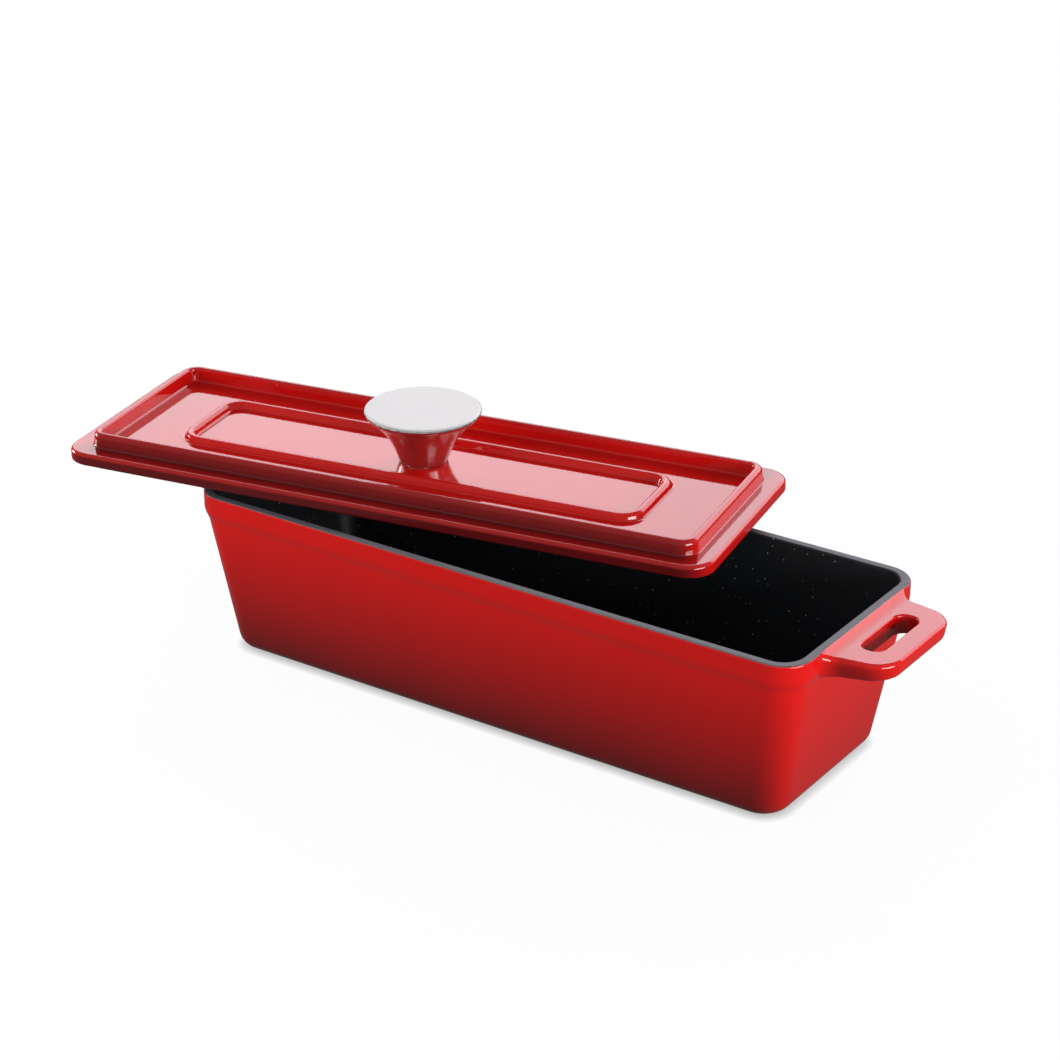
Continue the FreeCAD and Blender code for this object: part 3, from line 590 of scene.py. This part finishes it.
def grip(s, side):
    """Closed shell of one grip: a section carried round its finger slot.

    Every ring of the top and of the underside lies between the slot's outline and the
    grip's own, a share w of the way. The top rises to the rim along a hollow arc, the
    underside falls to the wall along another and rises a little towards the tip and the
    flares.
    """
    rim_end = s.rim_length / 2
    tip = rim_end + s.grip_reach
    top = s.height - s.grip_drop
    bottom = top - s.grip_thickness
    into_wall, slot_shift = 2.8 * MM, 0.4 * MM
    root = rim_end - into_wall
    shift = np.array([0.0, s.grip_offset])
    middle = np.array([rim_end + s.slot_inset + s.slot_breadth / 2, slot_shift]) + shift

    outline = grip_outline(s) + shift
    ahead = np.gradient(outline, axis=0)
    normal = np.stack([ahead[:, 1], -ahead[:, 0]], -1)
    normal /= np.linalg.norm(normal, axis=1, keepdims=True)

    def outer(shrink):
        """Outline drawn in by a margin and closed along three lines inside the wall."""
        curve = outline - shrink * normal
        far, near = curve[-1], curve[0]
        far_root, near_root = np.array([(root, far[1]), (root, near[1])])
        into = np.linspace(far, far_root, 9)[1:]
        along = np.linspace(far_root, near_root, 46)[1:]
        out = np.linspace(near_root, near, 9)[1:-1]
        return np.concatenate([curve, into, along, out])

    whole = outer(0.0)

    def inner(grow):
        """Slot's outline grown by a margin, point by point towards the grip's own."""
        return slot_outline(s, grow, whole, middle)

    round_out, round_in, draft = 1.6 * MM, 0.9 * MM, 0.8 * MM
    arc = np.linspace(0, math.pi / 2, 8)
    between = np.linspace(0, 1, 30)[1:-1]
    rows, low, lift = [], [], []

    def add(ring, share, offset):
        """One more ring, its share of the way down and its height added to that."""
        rows.append(ring)
        low.append(share)
        lift.append(offset)

    for angle in arc:
        add(inner(round_in * (1 - math.cos(angle))), 0, -round_in * (1 - math.sin(angle)))
    for w in between:
        add((1 - w) * inner(round_in) + w * outer(round_out), 0, 0)
    for angle in arc:
        add(outer(round_out * (1 - math.sin(angle))), 0, -round_out * (1 - math.cos(angle)))
    for share in (0.3, 0.5, 0.7):
        add(outer(draft * share), share, 0)
    for angle in arc:
        ring = outer(draft + round_out * (1 - math.cos(angle)))
        add(ring, 1, round_out * (1 - math.sin(angle)))
    for w in between[::-1]:
        add((1 - w) * inner(round_in) + w * outer(draft + round_out), 1, 0)
    for angle in arc:
        add(inner(round_in * (1 - math.sin(angle))), 1, round_in * (1 - math.cos(angle)))

    plan = np.stack(rows)
    low, lift = np.array(low)[:, None], np.array(lift)[:, None]
    x, y = plan[..., 0], plan[..., 1]

    in_wall = 0.4 * MM

    def hollow_rise(radius, start):
        """Height of an arc that starts level at a distance from the rim's end wall."""
        into = np.clip(rim_end + start - x, 0, start + in_wall)
        return radius - np.sqrt(radius**2 - into**2)

    fall, flare_width, flare_lift = 0.5, 8.0 * MM, 2.2 * MM
    upper = top + hollow_rise(radius=6.0 * MM, start=4.1 * MM)
    upper = upper - np.clip(rim_end - in_wall - x, 0, None) * fall
    lower = bottom - hollow_rise(radius=3.0 * MM, start=1.2 * MM)
    lower = lower + s.grip_rise * np.clip((x - rim_end) / (tip - rim_end), 0, 1)
    flared = np.clip((np.abs(y - s.grip_offset) - s.grip_width / 2) / flare_width, 0, 1)
    lower = lower + flare_lift * flared**2 * (3 - 2 * flared)
    z = (1 - low) * upper + low * lower + lift

    # Painted shade on the grip's front and back faces, darker further below its top
    deepest_painted_shade, painted_shade_depth = 0.6, 4.0 * MM
    sideways = np.zeros(plan.shape[1])
    sideways[: len(outline)] = normal[:, 1] ** 2
    ombre_and_shade = deepest_painted_shade * sideways * np.clip((upper - z) / painted_shade_depth, 0, 1)

    points = np.stack([x * side, y * side, z], -1)
    faces = grid_faces(points.shape[0], points.shape[1], wrap_rows=True)
    return (points.reshape(-1, 3), faces, NO_TRIANGLES), np.zeros(ombre_and_shade.size), ombre_and_shade.ravel()


def lid_profile(s, half_length, half_width):
    """From the underside round the plate's edge and over the raised rim into the tray."""
    t, up = s.thickness, s.thickness + s.tray_height
    crown, edge = t + s.bead_height, s.plate_corner
    ridge_in, ridge_out = 10.3 * MM, 6.8 * MM
    crest_out, crest_in, tray = s.flange + 0.7 * MM, s.flange + 3.8 * MM, s.flange + 4.5 * MM
    bead_x = half_length - s.bead_length / 2
    bead_y = half_width - s.bead_width / 2
    under = [
        (14 * MM, 14 * MM, 3 * MM, 0, 1, 1, 0),
        (ridge_in, ridge_in, 4 * MM, 0, 1, 1, 0.7 * MM),
        (ridge_in, ridge_in, 4 * MM, -s.ridge, 1, 1, 0.5 * MM),
        (ridge_out, ridge_out, 7.5 * MM, -s.ridge, 1, 1, 0.6 * MM),
        (ridge_out, ridge_out, 7.5 * MM, 0, 1, 1, 0.6 * MM),
    ]
    # Shade column: the flange and the raised rim's outer wall run to the deep red, partly ombre
    # and partly painted shade and painted reflection of the dark wall and floor
    plate_and_rim = [
        (0, 0, edge, 0, 0.2, 1, 0.8 * MM),
        (0, 0, edge, t - 1.8 * MM, 0, 1, 0),
        (0, 0, edge, t, 0, 0.35, 1.5 * MM),
        (s.flange, s.flange, 7.5 * MM, t, 0, 1, 0.6 * MM),
        (crest_out, crest_out, 6.8 * MM, up, 0, 0.75, 1.8 * MM),
        (crest_in, crest_in, 3.7 * MM, up, 0, 0.15, 1.0 * MM),
        (tray, tray, 3.0 * MM, t, 0, 0.1, 0.8 * MM),
    ]
    bead = [
        (bead_x, bead_y, 10.4 * MM, t, 0, 0, 0.6 * MM),
        (bead_x + 1.1 * MM, bead_y + 1.1 * MM, 9.3 * MM, crown, 0, 0, 1.2 * MM),
        (bead_x + 3.9 * MM, bead_y + 3.9 * MM, 6.5 * MM, crown, 0, 0, 1.2 * MM),
        (bead_x + 5.0 * MM, bead_y + 5.0 * MM, 5.4 * MM, t, 0, 0, 0.6 * MM),
        (bead_x + 7.5 * MM, bead_y + 7.5 * MM, 4.0 * MM, t, 0, 0, 0),
    ]
    table = np.array(under + plate_and_rim + bead)
    return soften(table[:, :EASE], table[:, EASE], (ACROSS, HEIGHT), 7, guard=0.1 * MM)


def lid(s):
    """Closed shell of the lid with its knob hole, turned and moved to where it lies."""
    half_length, half_width = s.plate_length / 2, s.plate_width / 2
    profile = lid_profile(s, half_length, half_width)
    turn = turn_of_rectangle(12, 24)
    rings = carry(profile, half_length, half_width, turn)

    def hole(ring, height, radii):
        """Circles round the hole, each point on the ray of the ring's point."""
        rays = ring[:, :2] / np.linalg.norm(ring[:, :2], axis=1, keepdims=True)
        heights = np.full(len(ring), height)
        return [np.column_stack([radius * rays, heights]) for radius in radii]

    radii = (2.75 * MM, 3.0 * MM, 8.0 * MM)
    below = hole(rings[0], 0.0, radii)
    above = hole(rings[-1], s.thickness, radii[::-1])
    rings = np.concatenate([below, rings, above])
    inside = np.concatenate([[1.0] * len(radii), profile[:, INSIDE], [0.0] * len(radii)])
    ombre_and_shade = np.concatenate([[1.0] * len(radii), profile[:, OMBRE_AND_SHADE], [0.0] * len(radii)])
    rows, columns = rings.shape[:2]
    # The deep tone, partly painted shade, is weaker on the lid's ends than on its long sides
    less_at_ends = 0.7
    ombre_and_shade = (ombre_and_shade[:, None] * (1 - less_at_ends * np.cos(turn[2]) ** 2)).ravel()
    cos, sin = math.cos(s.turn), math.sin(s.turn)
    x = rings[..., 0] * cos - rings[..., 1] * sin + s.shift[0]
    y = rings[..., 0] * sin + rings[..., 1] * cos + s.shift[1]
    z = rings[..., 2] + LID_LOW.z + s.ridge
    points = np.stack([x, y, z], -1).reshape(-1, 3)
    faces = grid_faces(rows, columns, wrap_rows=True)
    return (points, faces, NO_TRIANGLES), np.repeat(inside, columns), ombre_and_shade


def knob(s, centre):
    """Turned shell: a profile of radius and height taken round the axis.

    The flare is an arc of the trumpet radius about a point outside it, from the end of the
    neck to just under the disc.
    """
    edge, disc, crown, flat = s.diameter / 2, 2.7 * MM, 1.45 * MM, 5 * MM
    bore_depth, bore_tip = 12 * MM, 14.5 * MM
    start = np.array([s.neck / 2, s.neck_height])
    end = np.array([edge - 1.0 * MM, s.height - disc])
    chord = end - start
    reach = np.linalg.norm(chord)
    across = np.array([chord[1], -chord[0]]) / reach
    centre_of_arc = (start + end) / 2 + across * math.sqrt(s.trumpet**2 - reach**2 / 4)
    first, last = start - centre_of_arc, end - centre_of_arc
    angles = np.linspace(
        math.atan2(first[1], first[0]) % (2 * math.pi),
        math.atan2(last[1], last[0]) % (2 * math.pi),
        24,
    )
    flare = centre_of_arc + s.trumpet * np.stack([np.cos(angles), np.sin(angles)], -1)
    low = soften(
        [
            (s.bore, bore_depth),
            (s.bore, 0),
            (s.foot / 2, 0),
            (s.foot / 2 + 0.7 * MM, 0.8 * MM),
            tuple(start),
        ],
        [0, 0.3 * MM, 0.4 * MM, 0.5 * MM, 0],
        (RADIUS, LIFT),
        4,
    )
    high = soften(
        [
            tuple(end),
            (edge, s.height - crown),
            (edge - 0.15 * MM, s.height),
            (edge - flat, s.height),
        ],
        [0, 0.7 * MM, 1.0 * MM, 0],
        (RADIUS, LIFT),
        7,
    )
    profile = np.concatenate([low[:-1], flare, high[1:]])
    turn = np.linspace(0, 2 * math.pi, 145)[:-1]
    rings = np.stack(
        [
            profile[:, RADIUS, None] * np.cos(turn) + centre[0],
            profile[:, RADIUS, None] * np.sin(turn) + centre[1],
            np.broadcast_to(profile[:, LIFT, None] + KNOB_LOW.z, (len(profile), len(turn))),
        ],
        -1,
    )
    rows, columns = rings.shape[:2]
    poles = [
        (centre[0], centre[1], KNOB_LOW.z + bore_tip),
        (centre[0], centre[1], KNOB_LOW.z + s.height),
    ]
    points = np.concatenate([rings.reshape(-1, 3), poles])
    bottom = np.arange(columns)
    top = bottom + (rows - 1) * columns
    triangles = np.concatenate(
        [fan_faces(bottom[::-1], rows * columns), fan_faces(top, rows * columns + 1)]
    )
    return points, grid_faces(rows, columns), triangles


class TERRINE_OT_dish(Operator):
    """Walls, band and rim of the dish in one shell"""

    bl_idname = "terrine.dish"
    bl_label = "Dish walls"

    def execute(self, context):
        shell, inside, ombre_and_shade = dish_walls(context.scene.terrine_dish)
        material = enamel("dish_enamels", context.scene.terrine_finish)
        attributes = {"inside": [inside], "ombre_and_shade": [ombre_and_shade]}
        piece = put("dish_walls", [shell], attributes, material)
        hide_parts("dish")
        return {"FINISHED"}


class TERRINE_OT_grips(Operator):
    """Both slotted grips of the dish"""

    bl_idname = "terrine.grips"
    bl_label = "Grips"

    def execute(self, context):
        sizes = context.scene.terrine_dish
        made = [grip(sizes, side) for side in (1, -1)]
        attributes = {"inside": [m[1] for m in made], "ombre_and_shade": [m[2] for m in made]}
        material = enamel("grip_enamel", context.scene.terrine_finish)
        piece = put("dish_grips", [m[0] for m in made], attributes, material)
        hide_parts("dish")
        return {"FINISHED"}


class TERRINE_OT_lid(Operator):
    """Lid with its flange, raised rim, tray, bead and ridge"""

    bl_idname = "terrine.lid"
    bl_label = "Lid"

    def execute(self, context):
        shell, inside, ombre_and_shade = lid(context.scene.terrine_lid)
        material = enamel("lid_enamels", context.scene.terrine_finish, rim_from=0.5, rim_to=0.5)
        attributes = {"inside": [inside], "ombre_and_shade": [ombre_and_shade]}
        piece = put("lid_casting", [shell], attributes, material)
        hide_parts("lid")
        return {"FINISHED"}


class TERRINE_OT_knob(Operator):
    """Turned steel knob, and the steel of its screw and washer"""

    bl_idname = "terrine.knob"
    bl_label = "Knob and fixings"

    def execute(self, context):
        sizes, colours = context.scene.terrine_knob, context.scene.terrine_finish
        centre = (KNOB_LOW + KNOB_HIGH) / 2 + Vector(sizes.off_centre)
        blasted = 1.3 * MM
        steel = satin_steel("knob_steel", colours, centre, KNOB_HIGH.z - blasted)
        piece = put("knob_turning", [knob(sizes, centre)], {}, steel)
        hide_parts("knob")
        for node in ("knob_screw", "knob_washer"):
            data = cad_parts[node].data
            data.materials.clear()
            data.materials.append(satin_steel(node + "_steel", colours, centre))
        return {"FINISHED"}


# ---------------------------------------------------------------------------------------
# Stage
# ---------------------------------------------------------------------------------------

# Camera fitted to the photograph: lens and frame in pixels, place in metres, angles in
# radians
LENS_PIXELS = 2904.14
FRAME_PIXELS = 1060.0
CAMERA_PLACE = (0.57453, -0.85694, 0.55206)
CAMERA_AZIMUTH = 0.59656
CAMERA_DIP = 0.43660

# Point that the lamps look at, and the white of lamps, floor and world
LAMP_TARGET = (-0.02, 0.0, 0.07)
WHITE = (1, 1, 1)


def photograph_camera():
    """Camera that sees the dish as the photograph does."""
    data = bpy.data.cameras.new("photograph_camera")
    data.sensor_width = 36.0
    data.lens = data.sensor_width * LENS_PIXELS / FRAME_PIXELS
    data.clip_start, data.clip_end = 0.05, 60.0
    camera = bpy.data.objects.new("photograph_camera", data)
    camera.location = CAMERA_PLACE
    camera.rotation_euler = (math.pi / 2 - CAMERA_DIP, 0.0, CAMERA_AZIMUTH)
    bpy.context.collection.objects.link(camera)
    bpy.context.scene.camera = camera


def direction(azimuth, elevation):
    """Unit vector towards an azimuth, from the front to the right, and an elevation."""
    a, e = math.radians(azimuth), math.radians(elevation)
    return Vector((math.sin(a) * math.cos(e), -math.cos(a) * math.cos(e), math.sin(e)))


def soft_lamp(name, away, distance, size, radiance, tint, mirrored):
    """Rectangular lamp aimed at the lid. Its power is radiance x area x pi."""
    width, height = size
    data = bpy.data.lights.new(name, "AREA")
    data.shape = "RECTANGLE"
    data.size, data.size_y = width, height
    data.energy = radiance * width * height * math.pi
    data.color = tint
    lamp = bpy.data.objects.new(name, data)
    lamp.location = Vector(LAMP_TARGET) + distance * away
    lamp.rotation_euler = away.to_track_quat("Z", "Y").to_euler()
    lamp.visible_glossy = mirrored
    bpy.context.collection.objects.link(lamp)


def studio_floor(levels):
    """Floor: white for the camera with a painted contact shadow and a little of the lamps' shadow,
    plain grey for the object.
    """
    half_side, points_per_side = 4.0, 17
    steps = np.linspace(-half_side, half_side, points_per_side)
    x, y = np.meshgrid(steps, steps, indexing="ij")
    points = np.stack([x, y, np.zeros_like(x)], -1).reshape(-1, 3)
    number = np.arange(len(points)).reshape(x.shape)
    quads = np.stack([number[:-1, :-1], number[1:, :-1], number[1:, 1:], number[:-1, 1:]], -1)
    mesh = bpy.data.meshes.new("studio_floor")
    mesh.from_pydata(points.tolist(), [], quads.reshape(-1, 4).tolist())
    floor = bpy.data.objects.new("studio_floor", mesh)
    bpy.context.collection.objects.link(floor)

    finish = Finish(bpy.data.materials.new("studio_floor"))
    seen = finish.add("ShaderNodeLightPath", output="Is Camera Ray")
    # Painted contact shadow: the glowing white darkens where ambient occlusion finds the dish
    # close
    reach = {"Distance": 4.0 * MM}
    open_sky = finish.add("ShaderNodeAmbientOcclusion", {"samples": 8}, reach, output="AO")
    painted_contact_shadow = (0.45, 0.45, 0.45)
    paper_with_painted_shadow = finish.blend(open_sky, painted_contact_shadow, WHITE)
    white = finish.add("ShaderNodeEmission", None, {"Color": paper_with_painted_shadow, "Strength": 1.0})
    catch = finish.add("ShaderNodeBsdfDiffuse", None, {"Color": (*WHITE, 1)})
    shown = finish.add("ShaderNodeMixShader", None, {0: levels.ground, 1: catch, 2: white})
    glow = {"Color": (*levels.floor, 1), "Strength": 1.0}
    plain = finish.add("ShaderNodeEmission", None, glow)
    finish.surface(finish.add("ShaderNodeMixShader", None, {0: seen, 1: plain, 2: shown}))
    mesh.materials.append(finish.owner)


def studio_world(levels):
    """World: white for the camera, dimmer as light and in reflections."""
    world = bpy.data.worlds.new("studio_world")
    bpy.context.scene.world = world
    finish = Finish(world)
    seen = finish.add("ShaderNodeLightPath", output="Is Camera Ray")
    dim = {"Color": (*WHITE, 1), "Strength": levels.ambient}
    light = finish.add("ShaderNodeBackground", None, dim)
    white = finish.add("ShaderNodeBackground", None, {"Color": (*WHITE, 1), "Strength": 1.0})
    mixed = finish.add("ShaderNodeMixShader", None, {0: seen, 1: light, 2: white})
    finish.add("ShaderNodeOutputWorld", None, {"Surface": mixed})


class TERRINE_OT_stage(Operator):
    """Camera, floor, world and lamps"""

    bl_idname = "terrine.stage"
    bl_label = "Stage"

    def execute(self, context):
        levels = context.scene.terrine_studio
        photograph_camera()
        studio_floor(levels)
        studio_world(levels)
        cool = (0.98, 0.94, 1.0)
        # Azimuth and elevation in degrees, distance, width and height in metres
        for name, azimuth, elevation, distance, width, height, radiance, tint, mirrored in (
            ("back_sheet", 196.0, 28.0, 2.0, 4.1, 1.15, levels.sheet, cool, True),
            ("right_lamp", 77.0, 5.0, 1.25, 0.9, 0.55, levels.key, WHITE, True),
            ("left_lamp", -84.0, 8.0, 1.1, 0.35, 0.3, levels.fill, WHITE, True),
            ("front_lamp", -46.0, 8.0, 0.64, 0.5, 0.35, levels.front, WHITE, False),
        ):
            away = direction(azimuth, elevation)
            soft_lamp(name, away, distance, (width, height), radiance, tint, mirrored)
        context.scene.view_settings.view_transform = "Standard"
        return {"FINISHED"}


class TERRINE_PT_panel(Panel):
    """Sizes, colours and pieces of the terrine dish"""

    bl_idname = "TERRINE_PT_panel"
    bl_label = "Terrine dish"
    bl_space_type = "VIEW_3D"
    bl_region_type = "UI"
    bl_category = "Terrine"

    def draw(self, context):
        layout = self.layout
        for group, (_, title) in GROUPS.items():
            box = layout.box()
            box.label(text=title)
            settings = getattr(context.scene, group)
            for name in settings.__annotations__:
                box.prop(settings, name)
        for operator in OPERATORS:
            layout.operator(operator.bl_idname)


GROUPS = {
    "terrine_dish": (TERRINE_PG_dish, "Dish"),
    "terrine_lid": (TERRINE_PG_lid, "Lid"),
    "terrine_knob": (TERRINE_PG_knob, "Knob"),
    "terrine_finish": (TERRINE_PG_finish, "Finish"),
    "terrine_studio": (TERRINE_PG_studio, "Studio"),
}
OPERATORS = (TERRINE_OT_dish, TERRINE_OT_grips, TERRINE_OT_lid, TERRINE_OT_knob, TERRINE_OT_stage)


def register():
    for group, (kind, _) in GROUPS.items():
        bpy.utils.register_class(kind)
        setattr(bpy.types.Scene, group, PointerProperty(type=kind))
    for kind in (*OPERATORS, TERRINE_PT_panel):
        bpy.utils.register_class(kind)


def unregister():
    for kind in (TERRINE_PT_panel, *reversed(OPERATORS)):
        bpy.utils.unregister_class(kind)
    for group, (kind, _) in reversed(GROUPS.items()):
        delattr(bpy.types.Scene, group)
        bpy.utils.unregister_class(kind)


def main():
    register()
    bpy.ops.terrine.dish()
    bpy.ops.terrine.grips()
    bpy.ops.terrine.lid()
    bpy.ops.terrine.knob()
    bpy.ops.terrine.stage()


if __name__ == "__main__":
    main()
